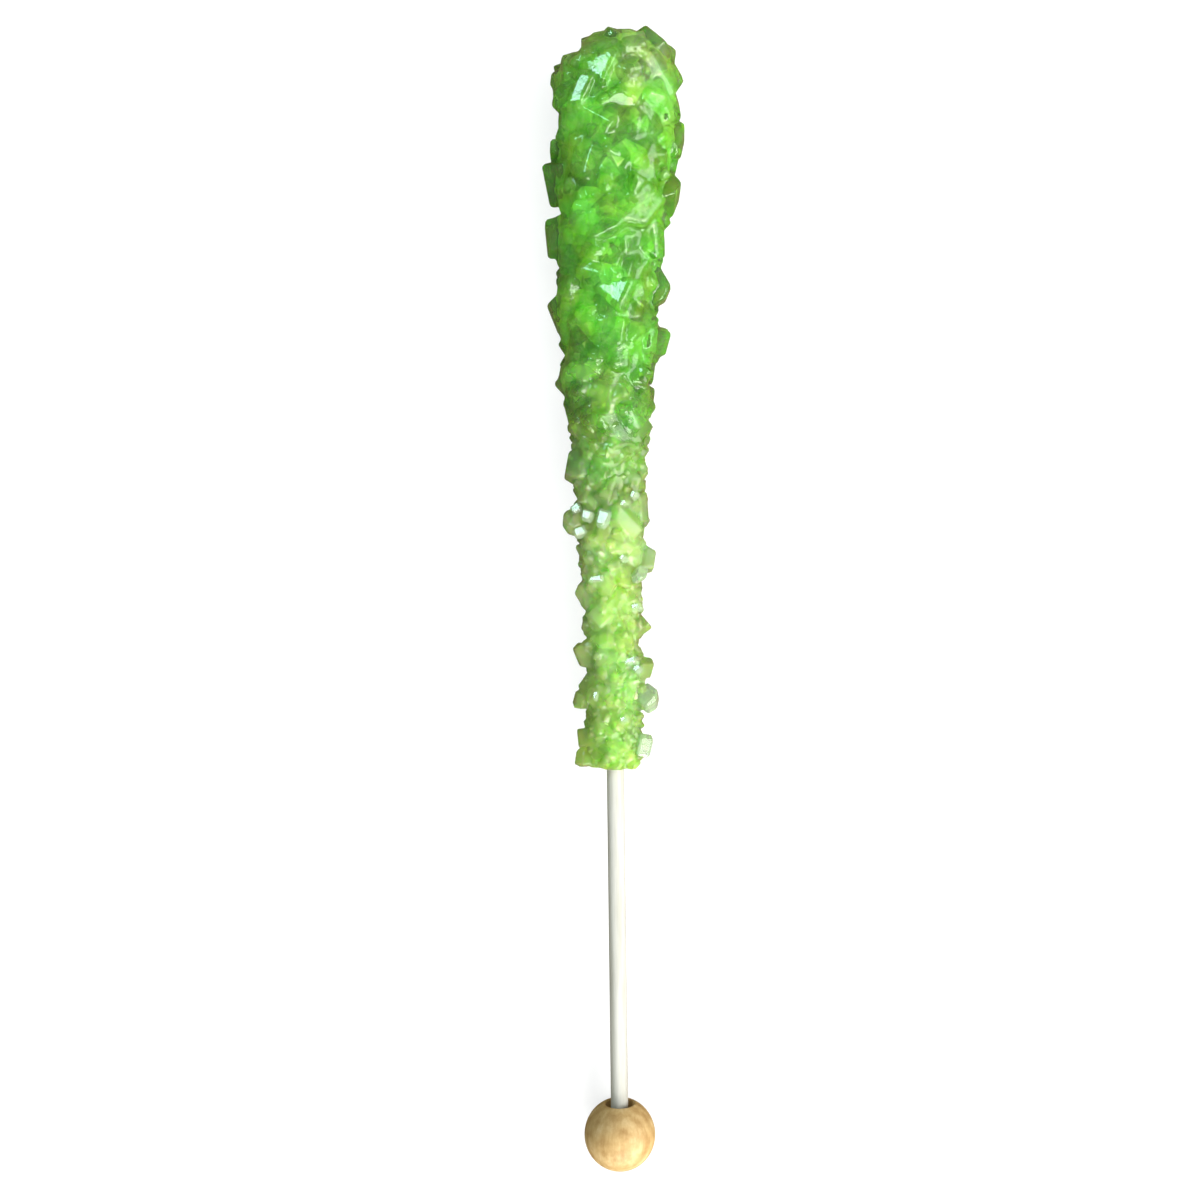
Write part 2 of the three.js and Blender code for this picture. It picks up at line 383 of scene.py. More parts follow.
# The floor is pale to the camera. All other rays see it darker and brown, as the table under the stick was
FLOOR_REACH = 12
FLOOR_COLOUR = (0.3, 0.3, 0.3)
TABLE_COLOUR = (0.17, 0.13, 0.06)
FLOOR_SEEN_GLOW = 0.74
FLOOR_GLOW = 0.02

ball_low, ball_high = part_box("ball")
ball_height = math.sqrt(BALL_RADIUS**2 - BALL_REST_SPOT_RADIUS**2)
lean = math.asin((REST_AXIS_HEIGHT - ball_height) / REST_STATION)
ball_column = (ball_low[0] + ball_high[0]) / 2 / MM
ball_centre = Vector((ball_column, ball_low[1] / MM + BALL_RADIUS, ball_height))
stick_turn = Quaternion((1, 0, 0), lean)


# Small tools
def make_random(seed):
    """A small repeatable random generator with values from 0 to 1, the same as the part's own."""
    state = seed
    modulus = 2147483647

    def draw():
        nonlocal state
        state = (state * 48271) % modulus
        return state / modulus

    return draw


def between(random, low, high):
    return low + (high - low) * random()


def lerp(a, b, share):
    return a + (b - a) * share


def share_of(value, low, high):
    return min(1, max(0, (value - low) / (high - low)))


def smoothstep(value, low, high):
    share = share_of(value, low, high)
    return share * share * (3 - 2 * share)


def on_stick(point):
    """A point given along the stick, in millimetres, as a place in the scene, in metres."""
    return (stick_turn @ point + ball_centre) * MM


# Camera: straight above the stick, as far up as the photograph's view of the ball's mouth asks
camera_data = bpy.data.cameras.new("camera")
camera_data.sensor_width = SENSOR
camera_data.lens = SENSOR * (CAMERA_HEIGHT - SUBJECT_HEIGHT) / (MM_PER_PIXEL * IMAGE_SIDE)
camera_data.clip_start = 0.01
camera = bpy.data.objects.new("camera", camera_data)
left = (STICK_COLUMN - IMAGE_SIDE / 2) * MM_PER_PIXEL
camera_place = Vector((ball_centre.x - left, ball_centre.y + PHOTO_MIDDLE, CAMERA_HEIGHT)) * MM
camera.location = camera_place
camera.rotation_euler = (0, 0, -STICK_TILT)
bpy.context.collection.objects.link(camera)
bpy.context.scene.camera = camera
bpy.context.scene.view_settings.view_transform = "Standard"


# The candy's outline
def outer_radius(s):
    radius = lerp(CANDY_SLIM_RADIUS, CANDY_FULL_RADIUS, share_of(s, TAPER_START, TAPER_END))
    into_tip = share_of(s, CANDY_END - TIP_LENGTH, CANDY_END)
    return radius * (1 - into_tip**TIP_BLUNTNESS) ** (1 / TIP_BLUNTNESS)


def crystal_size(s):
    return lerp(SMALL_CRYSTAL, LARGE_CRYSTAL, share_of(s, CANDY_START, TAPER_END))


def candy_axis(s):
    share = share_of(s, CANDY_START, CANDY_END)
    right = TIP_SHIFT * smoothstep(share, TIP_SHIFT_START, 1)
    left = BELLY_SHIFT * math.sin(math.pi * share) ** 4
    return Vector((right - left, s, 0))


def outline_point(s, angle, reach=None):
    """A point on the outline, the outward direction there, and the outline's slope."""
    step = 0.5
    slope = (outer_radius(s + step) - outer_radius(s - step)) / (2 * step)
    radial = Vector((math.sin(angle), 0, math.cos(angle)))
    point = candy_axis(s) + radial * (outer_radius(s) if reach is None else reach)
    return point, Vector((radial.x, -slope, radial.z)).normalized(), slope


def lump_depth(point):
    """How far the surface sinks at a point of the outline, between the clumps of the slim end."""
    slim = 1 - smoothstep(point.y, FULL_START, FULL_START + LUMP_FADE)
    return LUMP_DEPTH * slim * smoothstep(noise.noise(point / LUMP_LENGTH), -LUMP_EDGE, LUMP_EDGE)


# Crystals
def crystal_corners(size, random):
    length = size * between(random, *CRYSTAL_LENGTH)
    shoulder = length * between(random, *CRYSTAL_SHOULDER)
    thickness = size * between(random, *CRYSTAL_THICKNESS)
    width = size * between(random, *CRYSTAL_WIDTH)
    wedge = size * between(random, *CRYSTAL_WEDGE)
    slant = size * between(random, *CRYSTAL_SLANT)
    corners = []
    for end in (-1, 1):
        for side in (-1, 1):
            corners.append(Vector((side * length, end * (width + wedge), 0)))
            corners.append(Vector((side * shoulder + slant, end * width, thickness)))
            corners.append(Vector((side * shoulder - slant, end * width, -thickness)))
    return corners


def random_turn(random):
    split = random()
    first = 2 * math.pi * random()
    second = 2 * math.pi * random()
    return Quaternion(
        (
            math.sqrt(split) * math.cos(second),
            math.sqrt(1 - split) * math.sin(first),
            math.sqrt(1 - split) * math.cos(first),
            math.sqrt(split) * math.sin(second),
        )
    )


def inside_box(corners):
    """Moves a crystal back where a corner would leave the box of the solids."""
    places = [on_stick(corner) for corner in corners]
    left = max(0, cad_bounds[0][0] - min(place.x for place in places))
    right = max(0, max(place.x for place in places) - cad_bounds[1][0])
    up = max(0, max(place.z for place in places) - cad_bounds[1][2])
    return [corner + Vector((left - right, 0, -up)) / MM for corner in corners]


def crystal_at(point, normal, size, random):
    """A crystal turned at random, whose furthest corner just reaches the given point."""
    corners = crystal_corners(size, random)
    turn = random_turn(random)
    corners = [turn @ corner for corner in corners]
    height = max(corner.dot(normal) for corner in corners)
    centre = point - normal * height
    return inside_box([corner + centre for corner in corners])


def scattered(seed, share, spacing, deepest=0.35, sunk=0.0, fade=0.0, first=CANDY_START, last=CANDY_END):
    """Crystals spread evenly over the outline by the golden angle. share is their size against the large
    ones, and fade is how much deeper they sit at their last place than at the start of the full end."""
    random = make_random(seed)
    made = []
    s = first + FIRST_CRYSTAL_INSET
    while s < last - LAST_CRYSTAL_INSET:
        size = crystal_size(s) * share * between(random, *SIZE_SPREAD)
        angle = len(made) * GOLDEN_ANGLE + between(random, *ANGLE_SPREAD)
        depth = crystal_size(s) * (sunk + between(random, 0, deepest) * share)
        point, normal, slope = outline_point(s, angle)
        depth += lump_depth(point) + fade * share_of(s, FULL_START, last)
        made.append(crystal_at(point - normal * depth, normal, size, random))
        girth = 2 * math.pi * max(LARGE_CRYSTAL, outer_radius(s)) * math.hypot(1, slope)
        s += (spacing * size) ** 2 / girth
    return made


def glinting(facets, light, swell=0.0):
    """Crystals with one large face turned so that the camera sees a small lamp in it. swell is how far
    outside the outline that face's middle lies."""
    made = []
    for s, right, length, width, taper, degrees in facets:
        radius = outer_radius(s) + swell
        offset = right - candy_axis(s).x
        point = candy_axis(s) + Vector((offset, 0, math.sqrt(max(0, radius**2 - offset**2))))
        spot = on_stick(point)
        facing = (camera_place - spot).normalized() + (Vector(light) - spot).normalized()
        normal = stick_turn.inverted() @ facing.normalized()
        turn = Vector((0, 0, 1)).rotation_difference(normal) @ Quaternion((0, 0, 1), math.radians(degrees))
        corners = []
        for end in (-1, 1):
            for side in (-1, 1):
                half_width = width / 2 * (1 + taper * side) * end
                middle_length = side * length * GLINT_MIDDLE_LENGTH
                middle_width = half_width * GLINT_MIDDLE_WIDTH
                corners.append(Vector((middle_length, middle_width, -GLINT_DEPTH / 2)))
                corners.append(Vector((side * length / 2, half_width, 0)))
                corners.append(Vector((side * length / 2, half_width, -GLINT_DEPTH)))
        corners = [point + turn @ corner for corner in corners]
        outward = Vector((point.x - candy_axis(s).x, 0, point.z)).normalized()
        proud = max((corner - candy_axis(s)).dot(outward) for corner in corners) - radius
        made.append(inside_box([corner - outward * max(0, proud) for corner in corners]))
    return made


def standing(crystals, seed):
    random = make_random(seed)
    made = []
    for s, degrees, reach, size in crystals:
        point, normal, slope = outline_point(s, math.radians(degrees), reach)
        made.append(crystal_at(point, normal, size, random))
    return made


CRYSTAL_FACES = [
    (1, 4, 10, 7),
    (2, 8, 11, 5),
    (0, 3, 4, 1),
    (0, 2, 5, 3),
    (6, 7, 10, 9),
    (6, 9, 11, 8),
    (0, 1, 7, 6),
    (0, 6, 8, 2),
    (3, 9, 10, 4),
    (3, 5, 11, 9),
]


def mesh_object(name, bm):
    mesh = bpy.data.meshes.new(name)
    bm.to_mesh(mesh)
    bm.free()
    obj = bpy.data.objects.new(name, mesh)
    bpy.context.collection.objects.link(obj)
    return obj


def crystals_mesh(name, crystals, wear):
    """All the given crystals in one mesh, with a share of their edges worn away, in percent."""
    bm = bmesh.new()
    for corners in crystals:
        verts = [bm.verts.new(on_stick(corner)) for corner in corners]
        for face in CRYSTAL_FACES:
            bm.faces.new([verts[i] for i in face])
    bmesh.ops.recalc_face_normals(bm, faces=bm.faces)
    if wear:
        bmesh.ops.bevel(
            bm,
            geom=list(bm.edges),
            offset=wear,
            offset_type="PERCENT",
            segments=1,
            affect="EDGES",
            clamp_overlap=True,
        )
    return mesh_object(name, bm)


def apart_groups(crystals):
    """The crystals in groups whose members don't touch each other."""
    groups = []
    for corners in crystals:
        centre = sum(corners, Vector()) / len(corners)
        radius = max((corner - centre).length for corner in corners)
        for group in groups:
            if all((centre - other).length > radius + reach for other, reach, _ in group):
                group.append((centre, radius, corners))
                break
        else:
            groups.append([(centre, radius, corners)])
    return [[corners for _, _, corners in group] for group in groups]


def combine(body, tools, operation):
    """Joins closed pieces to the body, or cuts them from it, and removes them."""
    for tool in tools:
        step = body.modifiers.new(tool.name, "BOOLEAN")
        step.operation = operation
        step.solver = "MANIFOLD"
        step.object = tool
    bpy.context.view_layer.update()
    result = bpy.data.meshes.new_from_object(body.evaluated_get(bpy.context.evaluated_depsgraph_get()))
    body.modifiers.clear()
    body.data = result
    for tool in tools:
        bpy.data.objects.remove(tool)


def join_into(body, name, crystals, wear):
    """Fuses the crystals to the body, so that they share one outer surface."""
    groups = apart_groups(crystals)
    combine(body, [crystals_mesh(f"{name}_{i}", group, wear) for i, group in enumerate(groups)], "UNION")


def block(name, low, high, place):
    """A box between two corners, with place turning each of its own points into one of the scene."""
    bm = bmesh.new()
    bmesh.ops.create_cube(bm, size=1)
    for vert in bm.verts:
        share = vert.co + Vector((0.5, 0.5, 0.5))
        vert.co = place(Vector([lerp(a, b, t) for a, b, t in zip(low, high, share)]))
    return mesh_object(name, bm)


def soften(body, grain, passes=0):
    """Rounds the crystals' edges, as if their sugar were still wet, by a new mesh and by smoothing it."""
    remesh = body.modifiers.new("remesh", "REMESH")
    remesh.mode = "VOXEL"
    remesh.voxel_size = grain * MM
    remesh.use_smooth_shade = True
    if passes:
        smooth = body.modifiers.new("smooth", "SMOOTH")
        smooth.factor = 0.5
        smooth.iterations = passes
    combine(body, [], "UNION")


def keep_outer(body):
    """Keeps the largest closed part of a piece, without the hollows and loose grains inside it."""
    bm = bmesh.new()
    bm.from_mesh(body.data)
    waiting = set(bm.verts)
    parts = []
    while waiting:
        open_ends = [waiting.pop()]
        part = list(open_ends)
        while open_ends:
            vert = open_ends.pop()
            beside = [edge.other_vert(vert) for edge in vert.link_edges]
            fresh = [other for other in beside if other in waiting]
            waiting.difference_update(fresh)
            part += fresh
            open_ends += fresh
        parts.append(part)
    largest = max(parts, key=len)
    loose = [vert for part in parts if part is not largest for vert in part]
    bmesh.ops.delete(bm, geom=loose, context="VERTS")
    bm.to_mesh(body.data)
    bm.free()


def cut_flat(body, inset=0):
    """Cuts the candy off at its lower end and at the floor, or an inset within them."""
    start = CANDY_START + inset
    low = (-CUT_REACH, start - CUT_REACH, -CUT_REACH)
    lower_end = block("lower_end", low, (CUT_REACH, start, CUT_REACH), on_stick)
    low = (-FLOOR_CUT_REACH, -FLOOR_CUT_REACH, -FLOOR_CUT_DEPTH)
    high = (FLOOR_CUT_REACH, FLOOR_CUT_REACH, inset)
    under_floor = block("under_floor", low, high, lambda point: point * MM)
    combine(body, [lower_end, under_floor], "DIFFERENCE")


def drop_mesh(name):
    """A round drop of clear sugar."""
    s, right, height, radius = DROP
    bm = bmesh.new()
    bmesh.ops.create_icosphere(bm, subdivisions=3, radius=radius)
    for vert in bm.verts:
        flat = 1 - DROP_FLATTENING * noise.cell(vert.co * DROP_FACETS)
        vert.co = on_stick(candy_axis(s) + Vector((right, 0, height)) + vert.co * flat)
    return mesh_object(name, bm)


def core_mesh(name, form, first=CANDY_START, last=CANDY_END):
    """A body under the surface, lumpy where crystals have grown into each other."""
    depth, rings_made, sides = form
    bm = bmesh.new()
    rings = []
    end = min(last, CANDY_END - depth * LARGE_CRYSTAL)
    for ring in range(rings_made + 1):
        s = lerp(first, end, math.sin(math.pi / 2 * ring / rings_made))
        row = []
        for side in range(sides):
            angle = 2 * math.pi * side / sides
            surface = outline_point(s, angle)[0]
            radius = outer_radius(s) - depth * crystal_size(s) - lump_depth(surface)
            radius = max(BODY_LEAST_RADIUS, radius)
            spot = Vector((math.sin(angle) * radius, s, math.cos(angle) * radius))
            lump = noise.cell(spot / (BODY_BLOCK * crystal_size(s))) - 0.5
            soft = noise.noise(spot / crystal_size(s))
            rise = BODY_BLOCK_RISE * lump + BODY_SWELL * soft
            reach = radius + crystal_size(s) * rise * min(1, radius / BODY_CALM_RADIUS)
            place = candy_axis(s) + Vector((math.sin(angle) * reach, 0, math.cos(angle) * reach))
            row.append(bm.verts.new(on_stick(place)))
        rings.append(row)
    for low, high in zip(rings, rings[1:]):
        for side in range(sides):
            after = (side + 1) % sides
            bm.faces.new((low[side], low[after], high[after], high[side]))
    bm.faces.new(list(reversed(rings[0])))
    bm.faces.new(rings[-1])
    bmesh.ops.recalc_face_normals(bm, faces=bm.faces)
    return mesh_object(name, bm)


# The ball and the dowel
def turned(name, outline, sides):
    """A turned piece round the stick's axis, from points of radius and distance along it."""
    bm = bmesh.new()
    rings = []
    for radius, s in outline:
        row = []
        for side in range(sides):
            angle = 2 * math.pi * side / sides
            spot = Vector((math.sin(angle) * radius, s, math.cos(angle) * radius))
            row.append(bm.verts.new(on_stick(spot)))
        rings.append(row)
    for low, high in zip(rings, rings[1:]):
        for side in range(sides):
            after = (side + 1) % sides
            bm.faces.new((low[side], low[after], high[after], high[side]))
    bm.faces.new(rings[0])
    bm.faces.new(rings[-1])
    bmesh.ops.recalc_face_normals(bm, faces=bm.faces)
    for vert in bm.verts:
        vert.co.z = max(0, vert.co.z)
    for face in bm.faces:
        face.smooth = len(face.verts) == 4
    return mesh_object(name, bm)


def arc(middle, radius, start, end, steps):
    """Points on a round stretch of an outline, from one angle to another."""
    angles = [lerp(start, end, step / steps) for step in range(steps + 1)]
    return [(middle[0] + radius * math.cos(a), middle[1] + radius * math.sin(a)) for a in angles]


def ball_mouth_top():
    """How far along the stick the ball's mouth ends in its rounded lip."""
    return math.sqrt(BALL_RADIUS**2 - (BALL_MOUTH_RADIUS + BALL_LIP) ** 2)


def ball_mesh():
    mouth_top = ball_mouth_top()
    lip_angle = math.atan2(mouth_top, BALL_MOUTH_RADIUS + BALL_LIP)
    lip_middle = (BALL_MOUTH_RADIUS + BALL_LIP, mouth_top - BALL_LIP)
    neck = DOWEL_RADIUS + FIT_GAP
    outline = arc((0, 0), BALL_RADIUS, -math.pi / 2 + BALL_POLE_ANGLE, lip_angle, BALL_STEPS)
    outline += arc(lip_middle, BALL_LIP, math.pi / 2, math.pi, LIP_STEPS)[1:]
    outline += [
        (BALL_MOUTH_RADIUS, mouth_top - BALL_MOUTH_DEPTH + MOUTH_ROUNDING),
        (BALL_MOUTH_RADIUS - MOUTH_ROUNDING, mouth_top - BALL_MOUTH_DEPTH),
        (neck + SOCKET_CHAMFER, mouth_top - BALL_MOUTH_DEPTH),
        (neck, mouth_top - BALL_MOUTH_DEPTH - SOCKET_CHAMFER),
        (neck, mouth_top - BALL_SOCKET_DEPTH),
    ]
    ball = turned("turned_ball", outline, BALL_SIDES)
    axis = stick_turn @ Vector((0, 1, 0))
    # Faces inside the mouth and socket get the second material: end grain painted darker with the recess's
    # shade
    for face in ball.data.polygons:
        place = face.center / MM - ball_centre
        s = place.dot(axis)
        narrow = (place - axis * s).length < BALL_MOUTH_RADIUS + MOUTH_MARGIN
        in_shaded_mouth = narrow and s > mouth_top - BALL_SOCKET_DEPTH - SOCKET_MARGIN
        face.material_index = int(in_shaded_mouth)
    return ball


def dowel_mesh():
    start = ball_mouth_top() - BALL_SOCKET_DEPTH + FIT_GAP
    end = CANDY_END - 2 * TIP_LENGTH - DOWEL_CHAMFER
    steps = [lerp(start + DOWEL_CHAMFER, end, i / DOWEL_STEPS) for i in range(DOWEL_STEPS + 1)]
    outline = [(DOWEL_RADIUS - DOWEL_CHAMFER, start)] + [(DOWEL_RADIUS, s) for s in steps]
    outline += [(DOWEL_RADIUS - DOWEL_CHAMFER, steps[-1] + DOWEL_CHAMFER)]
    return turned("birch_dowel", outline, DOWEL_SIDES)


# Materials
class Nodes:
    """Short ways to add and join shader nodes."""

    def __init__(self, name):
        self.material = bpy.data.materials.new(name)
        self.material.use_nodes = True
        self.tree = self.material.node_tree
        self.shader = self.tree.nodes["Principled BSDF"]
        self.place = self.add("ShaderNodeTexCoord").outputs["Object"]

    def add(self, kind, **settings):
        node = self.tree.nodes.new(kind)
        for key, value in settings.items():
            setattr(node, key, value)
        return node

    def join(self, output, target):
        self.tree.links.new(output, target)

    def set(self, **values):
        for key, value in values.items():
            self.shader.inputs[key.replace("_", " ")].default_value = value

    def noise(self, scale, detail=2.0, rough=0.5, stretch=(1, 1, 1)):
        mapping = self.add("ShaderNodeMapping")
        mapping.inputs["Scale"].default_value = stretch
        self.join(self.place, mapping.inputs["Vector"])
        node = self.add("ShaderNodeTexNoise")
        node.inputs["Scale"].default_value = scale
        node.inputs["Detail"].default_value = detail
        node.inputs["Roughness"].default_value = rough
        self.join(mapping.outputs["Vector"], node.inputs["Vector"])
        return node.outputs["Fac"]

    def ramp(self, value, stops):
        node = self.add("ShaderNodeValToRGB")
        elements = node.color_ramp.elements
        while len(elements) < len(stops):
            elements.new(0.5)
        for element, (position, colour) in zip(elements, stops):
            element.position = position
            element.color = (*colour, 1)
        self.join(value, node.inputs["Fac"])
        return node.outputs["Color"]

    def mix(self, a, b, share, kind="MIX"):
        node = self.add("ShaderNodeMix", data_type="RGBA", blend_type=kind)
        if isinstance(share, float):
            node.inputs["Factor"].default_value = share
        else:
            self.join(share, node.inputs["Factor"])
        for value, socket in ((a, node.inputs["A"]), (b, node.inputs["B"])):
            if isinstance(value, tuple):
                socket.default_value = (*value, 1)
            else:
                self.join(value, socket)
        return node.outputs["Result"]

    def maths(self, kind, a, b):
        node = self.add("ShaderNodeMath", operation=kind)
        for value, socket in ((a, node.inputs[0]), (b, node.inputs[1])):
            if isinstance(value, (int, float)):
                socket.default_value = value
            else:
                self.join(value, socket)
        return node.outputs["Value"]

    def along(self):
        """How far along the candy a place is, from 0 at the slim end to 1 at the tip."""
        parts = self.add("ShaderNodeSeparateXYZ")
        self.join(self.place, parts.inputs["Vector"])
        low = on_stick(Vector((0, CANDY_START, 0))).y
        high = on_stick(Vector((0, CANDY_END, 0))).y
        node = self.add("ShaderNodeMapRange")
        node.inputs["From Min"].default_value = low
        node.inputs["From Max"].default_value = high
        self.join(parts.outputs["Y"], node.inputs["Value"])
        return node.outputs["Result"]

    def grey_ramp(self, value, stops):
        return self.ramp(value, [(position, (level,) * 3) for position, level in stops])

    def tint(self, colour, density):
        """Tints the light inside the piece, the more the further it goes."""
        node = self.add("ShaderNodeVolumeAbsorption")
        node.inputs["Color"].default_value = (*colour, 1)
        node.inputs["Density"].default_value = density
        self.join(node.outputs["Volume"], self.tree.nodes["Material Output"].inputs["Volume"])

    def bump(self, height, distance, strength):
        node = self.add("ShaderNodeBump")
        node.inputs["Distance"].default_value = distance
        node.inputs["Strength"].default_value = strength
        self.join(height, node.inputs["Height"])
        self.join(node.outputs["Normal"], self.shader.inputs["Normal"])


def wandering_place(nodes):
    """How far along the candy a place is, made to wander so that no colour ends in a straight line."""
    wander = nodes.maths("SUBTRACT", nodes.noise(WANDER_SCALE, detail=3), 0.5)
    return nodes.maths("ADD", nodes.along(), nodes.maths("MULTIPLY", wander, COLOUR_WANDER))


def cells(nodes, scale):
    """A pattern of small cells, each with a tone of its own."""
    node = nodes.add("ShaderNodeTexVoronoi", feature="F1")
    node.inputs["Scale"].default_value = scale
    nodes.join(nodes.place, node.inputs["Vector"])
    return node


def candy_colour(nodes, greens, cloud, cloudiness, shade_shown):
    """The candy's greens along the stick, in cooler and warmer patches with pale clouds and painted shade.
    """
    place = wandering_place(nodes)
    base = nodes.ramp(place, greens)
    drift = nodes.noise(DRIFT_SCALE, detail=2)
    cool = nodes.grey_ramp(drift, COOL_PATCHES)
    warm = nodes.grey_ramp(drift, WARM_PATCHES)
    base = nodes.mix(base, COOL_GREEN, nodes.maths("MULTIPLY", cool, COOL_SHARE))
    base = nodes.mix(base, WARM_GREEN, nodes.maths("MULTIPLY", warm, WARM_SHARE))
    clouds = nodes.grey_ramp(nodes.noise(CLOUD_SCALE, detail=4, rough=0.6), CLOUD_PATCHES)
    mottled = nodes.mix(base, cloud, nodes.maths("MULTIPLY", clouds, cloudiness))
    # Painted shade: each cell and noise patch darkens the colour by its own amount
    tone = nodes.add("ShaderNodeSeparateColor")
    nodes.join(cells(nodes, SHADE_CELL_SCALE).outputs["Color"], tone.inputs["Color"])
    level = nodes.maths("MULTIPLY", tone.outputs["Red"], SHADE_CELL_SHARE)
    level = nodes.maths("ADD", level, nodes.noise(SHADE_SCALE, detail=3, rough=0.6))
    shade = nodes.ramp(level, PAINTED_SHADE_COLOURS)
    return nodes.mix(mottled, shade, nodes.grey_ramp(place, shade_shown), "MULTIPLY")


def crystal_material(name, facets):
    """See-through green sugar. facets is how strongly small flat faces show in its surface."""
    nodes = Nodes(name)
    colour = candy_colour(nodes, CRYSTAL_GREENS, CRYSTAL_CLOUD, CRYSTAL_CLOUDINESS, CRYSTAL_PAINTED_SHADE)
    nodes.join(colour, nodes.shader.inputs["Base Color"])
    clear = nodes.grey_ramp(wandering_place(nodes), CLEARNESS)
    nodes.join(clear, nodes.shader.inputs["Transmission Weight"])
    nodes.set(Roughness=0.04, IOR=SUGAR_IOR)
    nodes.tint(CRYSTAL_TINT, density=100)
    nodes.set(Subsurface_Weight=1.0, Subsurface_Radius=SUGAR_SCATTER, Subsurface_Scale=0.002)
    flat_faces = nodes.maths("MULTIPLY", cells(nodes, FACET_SCALE).outputs["Distance"], facets)
    ripples = nodes.noise(RIPPLE_SCALE, detail=4, rough=0.6)
    nodes.bump(nodes.maths("ADD", ripples, flat_faces), distance=0.0005, strength=0.22)
    return nodes.material


def core_material():
    """The cloudy sugar that shows through the crystals."""
    nodes = Nodes("cloudy sugar")
    colour = candy_colour(nodes, CORE_GREENS, CORE_CLOUD, CORE_CLOUDINESS, CORE_PAINTED_SHADE)
    nodes.join(colour, nodes.shader.inputs["Base Color"])
    nodes.set(Roughness=0.35, Specular_IOR_Level=0.0)
    nodes.set(Subsurface_Weight=1.0, Subsurface_Radius=SUGAR_SCATTER, Subsurface_Scale=0.003)
    nodes.bump(nodes.noise(GRIT_SCALE, detail=4), distance=0.0005, strength=0.6)
    return nodes.material


def clear_material():
    """Nearly colourless sugar."""
    nodes = Nodes("clear sugar")
    nodes.set(Base_Color=(*CLEAR_GREEN, 1), Roughness=0.05, IOR=SUGAR_IOR, Transmission_Weight=0.75)
    nodes.tint(CLEAR_TINT, density=60)
    nodes.bump(nodes.noise(GRIT_SCALE, detail=3), distance=0.0003, strength=0.2)
    return nodes.material


def dowel_material():
    nodes = Nodes("birch")
    grain = nodes.noise(DOWEL_GRAIN_SCALE, detail=4, rough=0.6, stretch=DOWEL_GRAIN_STRETCH)
    colour = nodes.ramp(grain, DOWEL_COLOURS)
    nodes.join(colour, nodes.shader.inputs["Base Color"])
    nodes.set(Roughness=0.55)
    nodes.bump(grain, distance=0.0001, strength=0.5)
    return nodes.material


def ball_material():
    """Pale turned wood, cut so that the growth rings run round a spot on the shown side."""
    nodes = Nodes("turned wood")
    pith = on_stick(Vector(BALL_PITH))
    shift = nodes.add("ShaderNodeMapping")
    shift.inputs["Location"].default_value = -pith
    nodes.join(nodes.place, shift.inputs["Vector"])
    rings = nodes.add("ShaderNodeTexWave", wave_type="RINGS", rings_direction="Y")
    rings.inputs["Scale"].default_value = BALL_RING_SCALE
    rings.inputs["Distortion"].default_value = 2.5
    rings.inputs["Detail"].default_value = 4
    rings.inputs["Detail Scale"].default_value = 1.5
    nodes.join(shift.outputs["Vector"], rings.inputs["Vector"])
    fibres = nodes.noise(BALL_FIBRE_SCALE, detail=4, rough=0.65, stretch=BALL_FIBRE_STRETCH)
    clouds = nodes.noise(BALL_CLOUD_SCALE, detail=5, rough=0.6)
    level = nodes.maths("MULTIPLY", rings.outputs["Fac"], BALL_RING_SHARE)
    level = nodes.maths("ADD", level, nodes.maths("MULTIPLY", fibres, BALL_FIBRE_SHARE))
    level = nodes.maths("ADD", level, nodes.maths("MULTIPLY", clouds, BALL_CLOUD_SHARE))
    colour = nodes.ramp(level, BALL_COLOURS)
    nodes.join(colour, nodes.shader.inputs["Base Color"])
    nodes.set(Roughness=0.5, Specular_IOR_Level=0.3)
    nodes.bump(fibres, distance=0.00006, strength=0.6)
    return nodes.material


def mouth_grain_and_shade_material():
    """The rough end grain inside the ball's mouth, painted darker with the shade of the recess."""
    nodes = Nodes("drilled wood with painted shade")
    grain = nodes.noise(DRILLED_GRAIN_SCALE, detail=4, rough=0.65)
    colour = nodes.ramp(grain, MOUTH_GRAIN_AND_SHADE_COLOURS)
    nodes.join(colour, nodes.shader.inputs["Base Color"])
    nodes.set(Roughness=0.8, Specular_IOR_Level=0.2)
    nodes.bump(grain, distance=0.0001, strength=0.8)
    return nodes.material


# The pieces
def add_piece(piece, node, *materials):
    """Gives a piece its materials and puts it in the place of the solid it stands for."""
    piece.data.materials.clear()
    for material in materials:
        piece.data.materials.append(material)
    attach(piece, "root")
    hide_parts(node)


def full_end(rows):
    """The rows of a table of crystals that lie on the full end."""
    return [row for row in rows if row[0] > FULL_START]


def slim_end(rows):
    """The rows that lie on the slim end."""
    return [row for row in rows if row[0] <= FULL_START]


def full_crystals():
    """The large crystals of the full end, softened as if wet."""
    body = core_mesh("candy_crystals", FULL_BODY, first=FULL_START - FULL_OVERLAP)
    large = standing(full_end(STANDING_OUT), STANDING_SEED)
    large += standing(full_end(SCENE_STANDING), STANDING_SEED)
    large += scattered(FULL_LARGE_SEED, share=1.3, spacing=1.75, first=FULL_START + FULL_INSET)
    join_into(body, "large", large, EDGE_WEAR)
    small = scattered(FULL_SMALL_SEED, share=0.8, spacing=2.0, deepest=0.6, sunk=0.25, first=FULL_START)
    join_into(body, "small", small, EDGE_WEAR)
    right, first, last = TIP_NOTCH
    notch = block("notch", (-CUT_REACH, first, -CUT_REACH), (right, last, CUT_REACH), on_stick)
    combine(body, [notch], "DIFFERENCE")
    bright = glinting(full_end(GLINTS), GLINT_PLACE) + glinting(SPARKS, SPARK_PLACE)
    join_into(body, "bright", bright, EDGE_WEAR)
    soften(body, FULL_GRAIN, FULL_PASSES)
    keep_outer(body)
    cut_flat(body)
    return body


